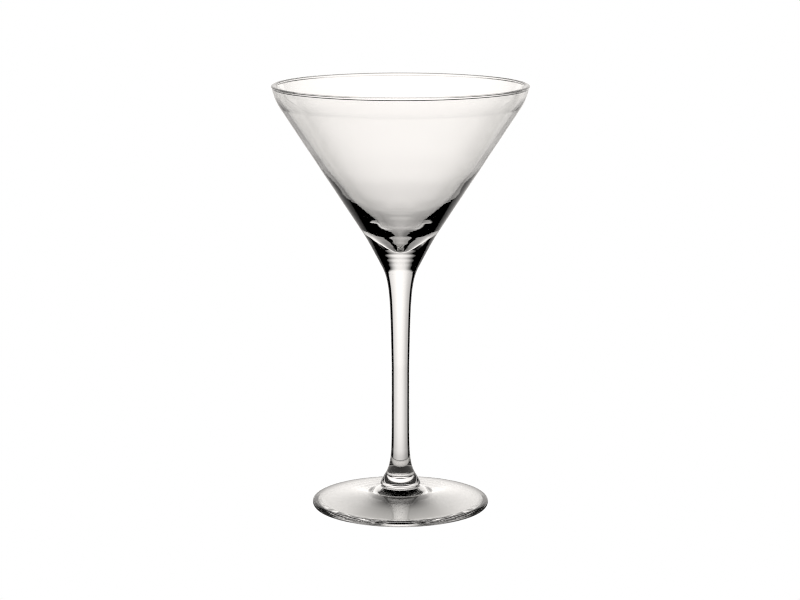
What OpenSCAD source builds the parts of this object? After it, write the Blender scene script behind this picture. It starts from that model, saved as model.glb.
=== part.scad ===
// Martini glass: a conical bowl, a drawn stem and a flared foot, fused end to end.
// Millimetres. The glass stands on Z = 0, with the Z axis through its centre.

/* [Overall size] */
// Height from the table to the top of the rim
glass_h = 183.5; // [170:0.5:200]
// Outer diameter of the rim
rim_d = 109.4; // [98:0.2:120]
// Outer diameter of the foot
foot_d = 76.2; // [68:0.1:84]

/* [Bowl] */
// Height of the bowl, from its weld with the stem to the rim
bowl_h = 80.5; // [74:0.5:88]
// Level thickness of the wall near the bottom of the inside
lower_wall = 3.7; // [3.2:0.1:4.2]
// Level thickness of the wall in the middle of the cone
middle_wall = 2.5; // [2.1:0.1:2.9]
// Level thickness of the wall where the upper band begins
upper_wall = 1.4; // [1.2:0.1:1.7]
// Level thickness of the wall in the neck just under the lip
neck_wall = 1.25; // [1.15:0.05:1.35]
// Width of the rounded lip that finishes the rim, which bulges inwards
lip_wall = 2.2; // [2:0.05:2.4]
// Solid glass between the weld and the bottom of the bowl's inside
floor_h = 11.2; // [10.5:0.1:12.5]

/* [Stem] */
// Diameter of the stem at its thinnest
stem_d = 7.6; // [6.6:0.1:8.6]
// Diameter where the stem's lower end is welded to the foot
foot_weld_d = 12.9; // [12:0.1:13.8]
// Diameter where the stem's upper end is welded to the bowl
bowl_weld_d = 13.6; // [12.6:0.1:14.2]

/* [Foot] */
// Height of the foot, from the table to its weld with the stem
foot_h = 14.6; // [13.6:0.1:16]
// Height of the foot's outer edge
edge_h = 3.3; // [2.8:0.1:3.8]
// How far the middle of the underside stands clear of the table
hollow_h = 4.6; // [3.6:0.1:5.2]

/* [Hidden] */

// Facets of a turned shape, when it is previewed
$fn = 120;
// Largest turn between two points of an arc, in degrees
arc_step = 3;
lip_step = 5;
// Most of a straight stretch that one rounded corner may use up
corner_reach = 0.5;
// Height between two points of the stem's curve
stem_step = 1.2;

rim_r = rim_d / 2;
foot_r = foot_d / 2;
weld_z = glass_h - bowl_h;
floor_z = weld_z + floor_h;

// The upper band of the bowl is steeper than the cone below it. It begins this far below and inside the rim.
band_h = 7.1;
band_in = 2.03;
// The lip is part of an ellipse, from its outer side over the top to its inner side, in degrees
lip_h = 1.2;
lip_start = -25;
lip_end = 230;
// The neck's outside lies this far inside the lip's. Its two sides lie these heights below the middle of the lip.
neck_inset = 0.28;
neck_outer_drop = 0.74;
neck_inner_drop = 0.66;
// Where the outside of the cone begins, measured from the weld
throat_r = 14.5;
throat_h = 14.9;
// Heights above the inside's lowest point where the wall has its lower and its middle thickness
lower_wall_h = 19.8;
middle_wall_h = 33.7;
// The wide and the narrow step of the rounded pit in the bottom, measured from its lowest point
pit_r = 12.8;
pit_h = 10.8;
pit_step_r = 8.9;
pit_step_h = 7.6;

// The bowl's outside is a little wider just above the weld
weld_round_r = 0.85;
weld_round_h = 2;

// The foot's resting ring, measured inwards from the edge
ring_outer_in = 2.6;
ring_inner_in = 5.1;

// Bending of the stem's curve: how soon each flare dies away, and how the shaft swells towards the bowl
lower_flare_h = 4.4;
upper_flare_h = 6.4;
swell_start_h = 47.4;
swell_per_mm = 0.02;

// A point at an angle on a circle
function on_circle(centre, radius, angle) = centre + radius * [cos(angle), sin(angle)];

function heading(from, to) = (to - from) / norm(to - from);

function angle_of(v) = atan2(v.y, v.x);

// A difference between two angles, taken the short way round
function short_turn(degrees) = degrees > 180 ? degrees - 360 : degrees < -180 ? degrees + 360 : degrees;

// The arc that rounds the corner at b, between the straight stretches to a and to c
function rounded(a, b, c, radius) =
    let(
        to_a = heading(b, a),
        to_c = heading(b, c),
        half = acos(to_a * to_c) / 2,
        cut = min(radius / tan(half), corner_reach * min(norm(a - b), norm(c - b))),
        centre = b + heading([0, 0], to_a + to_c) * cut / cos(half),
        start = angle_of(b + cut * to_a - centre),
        sweep = short_turn(angle_of(b + cut * to_c - centre) - start),
        steps = max(2, ceil(abs(sweep) / arc_step))
    )
    [for (i = [0 : steps]) on_circle(centre, cut * tan(half), start + sweep * i / steps)];

function place(corner) = [corner[0], corner[1]];

// An outline from corners written as [radius, height, rounding]; the first and last corners stay sharp
function outline(corners) =
    let(last = len(corners) - 1)
    [
        for (i = [0 : last])
            each i == 0 || i == last || corners[i][2] == 0
                ? [place(corners[i])]
                : rounded(place(corners[i - 1]), place(corners[i]), place(corners[i + 1]), corners[i][2])
    ];

// Radius of the stem's bare shaft at a height
function shaft_radius(z) = stem_d / 2 + swell_per_mm * max(0, z - foot_h - swell_start_h);

// Radius of the stem at a height: the shaft, with a flare that dies away from each weld
function stem_radius(z) =
    shaft_radius(z)
    + (foot_weld_d / 2 - shaft_radius(foot_h)) * exp(-(z - foot_h) / lower_flare_h)
    + (bowl_weld_d / 2 - shaft_radius(weld_z)) * exp(-(weld_z - z) / upper_flare_h);

// The middle of the lip, and the outside and inside of the neck below it
lip_centre = [rim_r - lip_wall / 2, glass_h - lip_h / 2];
neck_outer = lip_centre + [lip_wall / 2 - neck_inset, -neck_outer_drop];
neck_inner = lip_centre + [lip_wall / 2 - neck_inset - neck_wall, -neck_inner_drop];
band_foot = [rim_r - band_in, glass_h - band_h];
cone_slope = (band_foot.x - throat_r) / (band_foot.y - weld_z - throat_h);

function corner(place, radius) = [place.x, place.y, radius];

// A point of the lip
function lip_at(angle) = lip_centre + [lip_wall / 2 * cos(angle), lip_h / 2 * sin(angle)];

// The outside of the bowl, from the weld up to the start of the lip
function bowl_outside() = outline([
    [bowl_weld_d / 2, weld_z],
    [bowl_weld_d / 2 + weld_round_r, weld_z + weld_round_h, 10],
    [throat_r, weld_z + throat_h, 80],
    corner(band_foot, 60),
    corner(neck_outer, 0.3),
    lip_at(lip_start)
]);

// The round of the lip, between the ends of the bowl's outside and inside
function lip() =
    let(steps = ceil((lip_end - lip_start) / lip_step))
    [for (i = [1 : steps - 1]) lip_at(lip_start + (lip_end - lip_start) * i / steps)];

// Radius of the cone's outside, at a height above the lowest point of the inside
function cone_radius(height) = throat_r + cone_slope * (floor_h + height - throat_h);

// The inside of the bowl, from the end of the lip down to its lowest point
function bowl_inside() = outline([
    lip_at(lip_end),
    corner(neck_inner, 0.12),
    [band_foot.x + 0.3 - upper_wall, band_foot.y + 0.8, 30],
    [cone_radius(middle_wall_h) - middle_wall, floor_z + middle_wall_h, 200],
    [cone_radius(lower_wall_h) - lower_wall, floor_z + lower_wall_h, 150],
    [pit_r, floor_z + pit_h, 28],
    [pit_step_r, floor_z + pit_step_h, 8],
    [pit_step_r / 2, floor_z + 3.1, 7],
    [2, floor_z + 0.5, 2],
    [0, floor_z]
]);

module bowl() {
    color([0.86, 0.89, 0.9, 0.45])
        rotate_extrude()
            polygon(concat([[0, weld_z]], bowl_outside(), lip(), bowl_inside()));
}

module stem() {
    steps = ceil((weld_z - foot_h) / stem_step);
    side = [
        for (i = [0 : steps])
            let(z = foot_h + (weld_z - foot_h) * i / steps)
            [stem_radius(z), z]
    ];
    color([0.9, 0.92, 0.93, 0.6])
        rotate_extrude()
            polygon(concat([[0, foot_h]], side, [[0, weld_z]]));
}

// The foot is a shallow dome with a collar in its middle, which is undercut where it rises from the dome.
// The glass stands on a narrow ring just inside the foot's edge.
module foot() {
    ring_outer = foot_r - ring_outer_in;
    ring_inner = foot_r - ring_inner_in;
    under = [
        [0, hollow_h],
        [7, hollow_h - 0.1, 20],
        [13.5, 0.6 * hollow_h, 15],
        [ring_inner, 0, 30],
        [ring_outer, 0, 1]
    ];
    edge = [
        [foot_r, 0.9, 2.2],
        [foot_r, edge_h, 1.6]
    ];
    // From the edge up the shallow dome to the undercut and the collar, which rises into the weld
    top = [
        [foot_r - 2.1, edge_h + 0.15, 8],
        [12.1, foot_h - 7.8, 6],
        [8.1, foot_h - 5.6, 1],
        [8.75, foot_h - 4.5, 0.4],
        [8.4, foot_h - 3.4, 1.2],
        [foot_weld_d / 2, foot_h]
    ];
    color([0.84, 0.87, 0.88, 0.5])
        rotate_extrude()
            polygon(concat(outline(concat(under, edge, top)), [[0, foot_h]]));
}

bowl();
stem();
foot();
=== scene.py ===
"""Martini glass: the looks of its bowl, stem and foot, and the floor, light and camera."""

import math

import bmesh
import bpy
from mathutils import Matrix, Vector


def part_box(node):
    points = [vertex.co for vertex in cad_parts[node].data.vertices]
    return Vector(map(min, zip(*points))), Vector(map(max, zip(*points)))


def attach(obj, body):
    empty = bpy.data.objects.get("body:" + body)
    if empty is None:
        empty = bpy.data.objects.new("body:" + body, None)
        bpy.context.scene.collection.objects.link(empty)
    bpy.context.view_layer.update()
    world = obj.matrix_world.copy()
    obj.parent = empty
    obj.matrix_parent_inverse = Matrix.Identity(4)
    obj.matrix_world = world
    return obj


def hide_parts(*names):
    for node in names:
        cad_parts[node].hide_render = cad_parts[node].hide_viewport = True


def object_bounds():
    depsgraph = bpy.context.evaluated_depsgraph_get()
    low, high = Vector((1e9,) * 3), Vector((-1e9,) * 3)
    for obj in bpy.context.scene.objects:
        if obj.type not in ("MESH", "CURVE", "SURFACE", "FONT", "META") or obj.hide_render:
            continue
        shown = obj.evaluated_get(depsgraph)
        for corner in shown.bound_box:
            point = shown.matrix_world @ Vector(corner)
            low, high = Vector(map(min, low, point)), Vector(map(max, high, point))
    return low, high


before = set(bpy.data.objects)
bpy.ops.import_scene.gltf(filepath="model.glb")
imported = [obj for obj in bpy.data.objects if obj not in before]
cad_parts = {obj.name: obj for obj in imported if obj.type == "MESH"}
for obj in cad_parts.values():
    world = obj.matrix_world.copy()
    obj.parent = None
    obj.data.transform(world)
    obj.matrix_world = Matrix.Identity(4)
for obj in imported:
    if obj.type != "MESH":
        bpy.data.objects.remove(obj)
cad_low, cad_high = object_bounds()

MM = 0.001

# Sizes read from the frame, in millimetres
glass_h = cad_high.z / MM
weld_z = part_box("bowl")[0].z / MM
foot_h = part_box("foot")[1].z / MM

# Sizes that the frame's boxes don't show, in millimetres, as in the CAD model
rim_r = 54.7
lip_wall = 2.2
lip_h = 1.2
neck_wall = 1.25
throat_r = 14.5
throat_h = 14.9
floor_z = weld_z + 11.2
stem_r = 3.8
foot_weld_r = 6.45
bowl_weld_r = 6.8
foot_r = 38.1
edge_h = 3.3
hollow_h = 4.6

# Faces round the axis of a turned mesh
SEGMENTS = 360
# Largest turn between two points of an arc, in degrees, and the fewest steps in one
ARC_STEP = 1.0
FEWEST_STEPS = 4
# Steps round the lip
LIP_STEPS = 56
# Longest step along a straight stretch, in millimetres
LONGEST_STEP = 0.6
# Most of a straight stretch that one rounded corner may use up
CORNER_REACH = 0.5
# Two values closer than this count as the same, in millimetres
NEAR = 1e-6


def on_circle(centre, radius, degrees):
    """A point at an angle on a circle."""
    turn = math.radians(degrees)
    return centre + radius * Vector((math.cos(turn), math.sin(turn)))


def rounded(before, corner, after, radius):
    """The points of the arc that rounds a corner between two straight stretches."""
    back = before - corner
    ahead = after - corner
    half = back.angle(ahead) / 2
    cut = min(radius / math.tan(half), CORNER_REACH * min(back.length, ahead.length))
    bend = cut * math.tan(half)
    centre = corner + (back.normalized() + ahead.normalized()).normalized() * cut / math.cos(half)
    start = corner + back.normalized() * cut - centre
    end = corner + ahead.normalized() * cut - centre
    first = math.degrees(math.atan2(start.y, start.x))
    sweep = math.degrees(math.atan2(end.y, end.x)) - first
    sweep = (sweep + 180) % 360 - 180
    steps = max(FEWEST_STEPS, math.ceil(abs(sweep) / ARC_STEP))
    return [on_circle(centre, bend, first + sweep * i / steps) for i in range(steps + 1)]


def outline(*corners):
    """An outline from corners written as (radius, height, rounding)."""
    places = [Vector(corner[:2]) for corner in corners]
    points = [places[0]]
    for i in range(1, len(corners) - 1):
        points += rounded(places[i - 1], places[i], places[i + 1], corners[i][2])
    points.append(places[-1])
    return points


def subdivided(points):
    """The same outline with its long stretches cut up."""
    result = [points[0]]
    for start, end in zip(points, points[1:]):
        steps = max(1, math.ceil((end - start).length / LONGEST_STEP))
        result += [start.lerp(end, (i + 1) / steps) for i in range(steps)]
    return result


# The outlines. The bowl's runs up its outside, round the lip and down its inside to the axis.

# The lip is part of an ellipse, from its outer side over the top to its inner side, in degrees
LIP_START = -25
LIP_END = 230

# The neck's outside lies this far inside the lip's. Its two sides lie these heights below the middle of
# the lip.
NECK_INSET = 0.28
NECK_OUTER_DROP = 0.74
NECK_INNER_DROP = 0.66

# The upper band of the bowl is steeper than the cone below it. It begins this far below and inside the rim.
BAND_H = 7.1
BAND_IN = 2.03

lip_centre = Vector((rim_r - lip_wall / 2, glass_h - lip_h / 2))
neck_outer = lip_centre + Vector((lip_wall / 2 - NECK_INSET, -NECK_OUTER_DROP))
neck_inner = lip_centre + Vector((lip_wall / 2 - NECK_INSET - neck_wall, -NECK_INNER_DROP))
band_foot = Vector((rim_r - BAND_IN, glass_h - BAND_H))


def lip_at(degrees):
    """A point of the lip, which is an ellipse a little wider than it is high."""
    turn = math.radians(degrees)
    return lip_centre + Vector((lip_wall / 2 * math.cos(turn), lip_h / 2 * math.sin(turn)))


def bowl_outside():
    return outline(
        (bowl_weld_r, weld_z),
        (bowl_weld_r + 0.85, weld_z + 2, 10),
        (throat_r, weld_z + throat_h, 80),
        (*band_foot, 60),
        (*neck_outer, 0.3),
        tuple(lip_at(LIP_START)),
    )


def bowl_lip():
    return [lip_at(LIP_START + (LIP_END - LIP_START) * i / LIP_STEPS) for i in range(1, LIP_STEPS)]


def bowl_inside():
    return outline(
        tuple(lip_at(LIP_END)),
        (*neck_inner, 0.12),
        (51.55, band_foot.y + 0.8, 30),
        (31.55, floor_z + 33.7, 200),
        (21.3, floor_z + 19.8, 150),
        (12.8, floor_z + 10.8, 28),
        (8.9, floor_z + 7.6, 8),
        (4.6, floor_z + 3.1, 7),
        (2, floor_z + 0.5, 2),
        (0, floor_z),
    )


# How the stem's shaft swells towards the bowl, and how soon each flare dies away from its weld
SWELL_START_H = 47.4
SWELL_PER_MM = 0.02
LOWER_FLARE_H = 4.4
UPPER_FLARE_H = 6.4


def shaft_radius(z):
    return stem_r + SWELL_PER_MM * max(0, z - foot_h - SWELL_START_H)


def stem_radius(z):
    lower_flare = (foot_weld_r - shaft_radius(foot_h)) * math.exp((foot_h - z) / LOWER_FLARE_H)
    upper_flare = (bowl_weld_r - shaft_radius(weld_z)) * math.exp((z - weld_z) / UPPER_FLARE_H)
    return shaft_radius(z) + lower_flare + upper_flare


def stem_side():
    steps = math.ceil((weld_z - foot_h) / LONGEST_STEP)
    heights = [foot_h + (weld_z - foot_h) * i / steps for i in range(steps + 1)]
    return [Vector((stem_radius(z), z)) for z in heights]


def foot_side():
    return outline(
        (0, hollow_h),
        (7, hollow_h - 0.1, 20),
        (13.5, 2.8, 15),
        (foot_r - 5.1, 0, 30),
        (foot_r - 2.6, 0, 1),
        (foot_r, 0.9, 2.2),
        (foot_r, edge_h, 1.6),
        (foot_r - 2.1, edge_h + 0.15, 8),
        (12.1, foot_h - 7.8, 6),
        (8.1, foot_h - 5.6, 1),
        (8.75, foot_h - 4.5, 0.4),
        (8.4, foot_h - 3.4, 1.2),
        (foot_weld_r, foot_h),
    )


# What forming left on the glass, in millimetres: fine rings round the bottom of the bowl, and a slow waver
# in its wall. Each is strongest at its own height above the weld and dies away over its spread. Both tilt:
# their waves shift by so many radians up on one side and down on the other.

RING_SPACING = 2.4
RING_HEIGHT = 0.012
RING_TILT = 0.8
RING_TILT_TURN = 1
RINGS_AT = 14
RINGS_SPREAD = 7
WAVER_LENGTH = 15
WAVER_HEIGHT = 0.04
WAVER_TILT = 3
WAVER_AT = 46
WAVER_SPREAD = 12


def fading(z, middle, spread):
    """1 at a middle height, dying away above and below it."""
    return math.exp(-((z - middle) / spread) ** 2)


def forming_marks(point, turn):
    """How far a point of an outline is moved away from the axis, at an angle round it in radians."""
    rings = math.sin(2 * math.pi * point.y / RING_SPACING + RING_TILT * math.sin(turn + RING_TILT_TURN))
    waver = math.sin(2 * math.pi * point.y / WAVER_LENGTH + WAVER_TILT * math.cos(turn))
    return (RING_HEIGHT * rings * fading(point.y, weld_z + RINGS_AT, RINGS_SPREAD)
            + WAVER_HEIGHT * waver * fading(point.y, weld_z + WAVER_AT, WAVER_SPREAD))


# Meshes

GLASS = 0
WELD = 1


def turned(name, points, weld_heights, marks=None):
    """A closed mesh turned about Z from an outline. Its level ends at the welds take the weld material."""
    bm = bmesh.new()
    rings = []
    for point in points:
        if point.x < NEAR:
            rings.append([bm.verts.new((0, 0, point.y * MM))])
            continue
        ring = []
        for i in range(SEGMENTS):
            turn = 2 * math.pi * i / SEGMENTS
            radius = point.x + (marks(point, turn) if marks else 0)
            x = radius * MM * math.cos(turn)
            y = radius * MM * math.sin(turn)
            ring.append(bm.verts.new((x, y, point.y * MM)))
        rings.append(ring)
    for (lower, upper), (start, end) in zip(zip(rings, rings[1:]), zip(points, points[1:])):
        on_weld = any(abs(start.y - z) < NEAR and abs(end.y - z) < NEAR for z in weld_heights)
        for i in range(SEGMENTS):
            j = (i + 1) % SEGMENTS
            if len(lower) == 1:
                corners = (lower[0], upper[j], upper[i])
            elif len(upper) == 1:
                corners = (lower[i], lower[j], upper[0])
            else:
                corners = (lower[i], lower[j], upper[j], upper[i])
            face = bm.faces.new(corners)
            face.smooth = not on_weld
            face.material_index = WELD if on_weld else GLASS
    bmesh.ops.recalc_face_normals(bm, faces=bm.faces)
    for edge in bm.edges:
        if len({face.material_index for face in edge.link_faces}) > 1:
            edge.smooth = False
    mesh = bpy.data.meshes.new(name)
    bm.to_mesh(mesh)
    bm.free()
    piece = bpy.data.objects.new(name, mesh)
    bpy.context.scene.collection.objects.link(piece)
    return piece


def node_tree(owner):
    """The emptied node tree of a material or world, as its nodes and links."""
    owner.use_nodes = True
    owner.node_tree.nodes.clear()
    return owner.node_tree.nodes, owner.node_tree.links


GLASS_IOR = 1.52
CLEAR_TINT = (0.998, 0.995, 0.992, 1)
# The colour where the glass is seen edge on: partly its own tint through more glass, partly painted shade at
# its edges.
EDGE_TINT_AND_SHADE = (0.955, 0.965, 0.95, 1)
EDGE_BLEND = 0.25
HAZE_SCALE = 70
HAZE_DETAIL = 4
HAZE_FROM = 0.5
HAZE_TO = 0.75
HAZE_ROUGHNESS = 0.012


def clear_glass():
    """Clear glass a little darker edge on, from its own tint and painted edge shade, with a faint uneven haze
    from wiping.
    """
    material = bpy.data.materials.new("fire_polished_glass")
    nodes, links = node_tree(material)
    shader = nodes.new("ShaderNodeBsdfPrincipled")
    output = nodes.new("ShaderNodeOutputMaterial")
    shader.inputs["Transmission Weight"].default_value = 1
    shader.inputs["IOR"].default_value = GLASS_IOR

    # Painted edge shade: the glass colour darkens where it is seen edge on, partly also as its own tint
    # through a longer path.
    edge_on = nodes.new("ShaderNodeLayerWeight")
    edge_on.inputs["Blend"].default_value = EDGE_BLEND
    edge_tint_and_shade = nodes.new("ShaderNodeMix")
    edge_tint_and_shade.data_type = "RGBA"
    edge_tint_and_shade.inputs["A"].default_value = CLEAR_TINT
    edge_tint_and_shade.inputs["B"].default_value = EDGE_TINT_AND_SHADE
    links.new(edge_on.outputs["Facing"], edge_tint_and_shade.inputs["Factor"])
    links.new(edge_tint_and_shade.outputs["Result"], shader.inputs["Base Color"])

    place = nodes.new("ShaderNodeTexCoord")
    haze = nodes.new("ShaderNodeTexNoise")
    haze.inputs["Scale"].default_value = HAZE_SCALE
    haze.inputs["Detail"].default_value = HAZE_DETAIL
    links.new(place.outputs["Object"], haze.inputs["Vector"])
    roughness = nodes.new("ShaderNodeMapRange")
    roughness.inputs["From Min"].default_value = HAZE_FROM
    roughness.inputs["From Max"].default_value = HAZE_TO
    roughness.inputs["To Max"].default_value = HAZE_ROUGHNESS
    links.new(haze.outputs["Fac"], roughness.inputs["Value"])
    links.new(roughness.outputs["Result"], shader.inputs["Roughness"])
    links.new(shader.outputs["BSDF"], output.inputs["Surface"])
    return material


def fused_weld():
    """The face where two pieces are fused: light passes it unbent, as it does inside one body of glass."""
    material = bpy.data.materials.new("fused_weld")
    nodes, links = node_tree(material)
    shader = nodes.new("ShaderNodeBsdfTransparent")
    output = nodes.new("ShaderNodeOutputMaterial")
    links.new(shader.outputs["BSDF"], output.inputs["Surface"])
    return material


# The three pieces

glass = clear_glass()
weld = fused_weld()

bowl_points = [Vector((0, weld_z))] + subdivided(bowl_outside() + bowl_lip() + bowl_inside())
stem_points = [Vector((0, foot_h))] + stem_side() + [Vector((0, weld_z))]
foot_points = subdivided(foot_side()) + [Vector((0, foot_h))]

pieces = {
    "bowl": turned("glass_bowl", bowl_points, [weld_z], forming_marks),
    "stem": turned("glass_stem", stem_points, [foot_h, weld_z], forming_marks),
    "foot": turned("glass_foot", foot_points, [foot_h]),
}
for node, piece in pieces.items():
    piece.data.materials.append(glass)
    piece.data.materials.append(weld)
    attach(piece, "root")
    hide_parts(node)


# Camera

# Its place in metres, and how far it looks down in degrees
CAMERA_PLACE = (-0.0002, -1.05, 0.287)
CAMERA_PITCH = 10.58

camera_data = bpy.data.cameras.new("camera")
camera_data.lens = 112
camera_data.sensor_width = 36
camera_data.clip_start = 0.01
camera = bpy.data.objects.new("camera", camera_data)
camera.location = CAMERA_PLACE
camera.rotation_euler = (math.radians(90 - CAMERA_PITCH), 0, 0)
bpy.context.scene.collection.objects.link(camera)
bpy.context.scene.camera = camera
bpy.context.view_layer.update()


# Floor: a bright table. It is seen round the glass but not through it, because the light that comes up
# through the glass is the studio's. Its half size and its gap below the glass are in metres.

FLOOR_HALF_SIZE = 20
FLOOR_GAP = 0.0001


def light_table():
    material = bpy.data.materials.new("light_table")
    material.cycles.emission_sampling = "NONE"
    nodes, links = node_tree(material)
    shader = nodes.new("ShaderNodeEmission")
    output = nodes.new("ShaderNodeOutputMaterial")
    shader.inputs["Color"].default_value = (1, 1, 1, 1)
    links.new(shader.outputs["Emission"], output.inputs["Surface"])
    return material


def add_floor():
    bm = bmesh.new()
    bmesh.ops.create_grid(bm, x_segments=1, y_segments=1, size=FLOOR_HALF_SIZE)
    mesh = bpy.data.meshes.new("floor")
    bm.to_mesh(mesh)
    bm.free()
    floor = bpy.data.objects.new("floor", mesh)
    floor.location.z = cad_low.z - FLOOR_GAP
    floor.data.materials.append(light_table())
    floor.visible_glossy = False
    floor.visible_transmission = False
    bpy.context.scene.collection.objects.link(floor)


# The shade on the table under the foot, which is seen only through the glass. Its radius is in millimetres,
# its gap below the glass in metres, and each level is written as (millimetres from the axis, brightness).
SHADOW_R = 44
SHADOW_GAP = 0.00005
SHADOW_SEGMENTS = 96
SHADOW_TINT = (1, 0.97, 0.93)
SHADOW_LEVELS = [
    (0, 0.03), (8, 0.06), (12, 0.2), (17, 0.36), (23, 0.45), (30, 0.55), (34, 0.5), (36, 0.3), (38, 0.04),
    (SHADOW_R, 0.04),
]


def contact_shadow():
    material = bpy.data.materials.new("contact_shadow")
    material.cycles.emission_sampling = "NONE"
    nodes, links = node_tree(material)
    place = nodes.new("ShaderNodeTexCoord")
    distance = nodes.new("ShaderNodeVectorMath")
    distance.operation = "LENGTH"
    links.new(place.outputs["Object"], distance.inputs[0])
    share = nodes.new("ShaderNodeMath")
    share.operation = "DIVIDE"
    share.inputs[1].default_value = SHADOW_R * MM
    links.new(distance.outputs["Value"], share.inputs[0])
    levels = nodes.new("ShaderNodeValToRGB")
    elements = levels.color_ramp.elements
    while len(elements) < len(SHADOW_LEVELS):
        elements.new(0.5)
    for element, (radius, level) in zip(elements, SHADOW_LEVELS):
        element.position = radius / SHADOW_R
        element.color = (*(level * channel for channel in SHADOW_TINT), 1)
    links.new(share.outputs["Value"], levels.inputs["Fac"])
    shader = nodes.new("ShaderNodeEmission")
    links.new(levels.outputs["Color"], shader.inputs["Color"])
    output = nodes.new("ShaderNodeOutputMaterial")
    links.new(shader.outputs["Emission"], output.inputs["Surface"])
    return material


def add_contact_shadow():
    bm = bmesh.new()
    bmesh.ops.create_circle(bm, cap_ends=True, segments=SHADOW_SEGMENTS, radius=SHADOW_R * MM)
    mesh = bpy.data.meshes.new("shadow_under_foot")
    bm.to_mesh(mesh)
    bm.free()
    disc = bpy.data.objects.new("shadow_under_foot", mesh)
    disc.location.z = cad_low.z - SHADOW_GAP
    disc.data.materials.append(contact_shadow())
    disc.visible_camera = False
    bpy.context.scene.collection.objects.link(disc)


add_floor()
add_contact_shadow()


# Light: a white sweep round the back of the glass, between dark sides. It goes round with the camera,
# as if the glass were turned on its stand. Its brightness is a level for the direction across, where 0 is
# straight behind the glass and more is to the right, times a level for the direction up. Each is written as
# (degrees, level).

STUDIO_R = 30
STUDIO_SUBDIVISIONS = 4
SWEEP_TINT = (1, 0.97, 0.945, 1)
SWEEP_ACROSS = [
    (-180, 0), (-44, 0), (-40, 0.45), (-34, 0.5), (-28, 0.54), (-22, 0.64), (-17, 0.76), (-12, 0.86),
    (-8, 0.93), (-3, 0.98), (1, 1), (9, 1), (12, 0.97), (17, 0.89), (22, 0.82), (27, 0.76), (34, 0.68),
    (38, 0.6), (41, 0), (180, 0),
]
SWEEP_UP = [
    (-90, 0), (-67, 0.3), (-50, 0.4), (-36, 0.48), (-30, 0.54), (-27, 0.65), (-22, 0.7), (-19.5, 0.79),
    (-18, 0.85), (-15.4, 0.92), (-13, 1.02), (-11, 1.08), (-9, 1.16), (-7, 1.2), (24, 1.2), (27, 0.98),
    (30, 0.4), (33, 0), (90, 0),
]


def studio_light():
    material = bpy.data.materials.new("studio_light")
    material.cycles.emission_sampling = "NONE"
    nodes, links = node_tree(material)

    def math_node(operation, *values):
        node = nodes.new("ShaderNodeMath")
        node.operation = operation
        for socket, value in zip(node.inputs, values):
            if isinstance(value, (int, float)):
                socket.default_value = value
            else:
                links.new(value, socket)
        return node.outputs["Value"]

    def ramp(angle, stops, widest):
        """The level at an angle in degrees, between stops that run from -widest to widest."""
        node = nodes.new("ShaderNodeValToRGB")
        elements = node.color_ramp.elements
        while len(elements) < len(stops):
            elements.new(0.5)
        for element, (degrees, level) in zip(elements, stops):
            element.position = (degrees + widest) / (2 * widest)
            element.color = (level, level, level, 1)
        links.new(math_node("DIVIDE", math_node("ADD", angle, widest), 2 * widest), node.inputs["Fac"])
        return node.outputs["Color"]

    place = nodes.new("ShaderNodeTexCoord")
    direction = nodes.new("ShaderNodeVectorMath")
    direction.operation = "NORMALIZE"
    links.new(place.outputs["Object"], direction.inputs[0])
    axes = nodes.new("ShaderNodeSeparateXYZ")
    links.new(direction.outputs["Vector"], axes.inputs[0])
    across = math_node("MULTIPLY", math_node("ARCTAN2", axes.outputs["X"], axes.outputs["Y"]), 180 / math.pi)
    up = math_node("MULTIPLY", math_node("ARCSINE", axes.outputs["Z"]), 180 / math.pi)

    sweep = math_node("MULTIPLY", ramp(across, SWEEP_ACROSS, 180), ramp(up, SWEEP_UP, 90))
    shader = nodes.new("ShaderNodeEmission")
    shader.inputs["Color"].default_value = SWEEP_TINT
    links.new(sweep, shader.inputs["Strength"])
    output = nodes.new("ShaderNodeOutputMaterial")
    links.new(shader.outputs["Emission"], output.inputs["Surface"])
    return material


def add_studio():
    bm = bmesh.new()
    bmesh.ops.create_icosphere(bm, subdivisions=STUDIO_SUBDIVISIONS, radius=STUDIO_R)
    mesh = bpy.data.meshes.new("studio")
    bm.to_mesh(mesh)
    bm.free()
    studio = bpy.data.objects.new("studio", mesh)
    studio.data.materials.append(studio_light())
    studio.visible_camera = False
    studio.visible_diffuse = False
    studio.visible_shadow = False
    bpy.context.scene.collection.objects.link(studio)
    studio.parent = camera
    studio.matrix_parent_inverse = camera.matrix_world.inverted()


def white_room():
    world = bpy.data.worlds.new("white_room")
    nodes, links = node_tree(world)
    background = nodes.new("ShaderNodeBackground")
    background.inputs["Color"].default_value = (1, 1, 1, 1)
    output = nodes.new("ShaderNodeOutputWorld")
    links.new(background.outputs["Background"], output.inputs["Surface"])
    world.cycles.sampling_method = "NONE"
    bpy.context.scene.world = world


add_studio()
white_room()

# Settings and sizes

# Light meets many faces on its way through the glass
BOUNCES = 24

scene = bpy.context.scene
scene.view_settings.view_transform = "Standard"
scene.cycles.max_bounces = BOUNCES
scene.cycles.transmission_bounces = BOUNCES
scene.cycles.glossy_bounces = BOUNCES
scene.cycles.transparent_max_bounces = 2 * BOUNCES
scene.cycles.use_denoising = True
scene.cycles.filter_width = 1.1
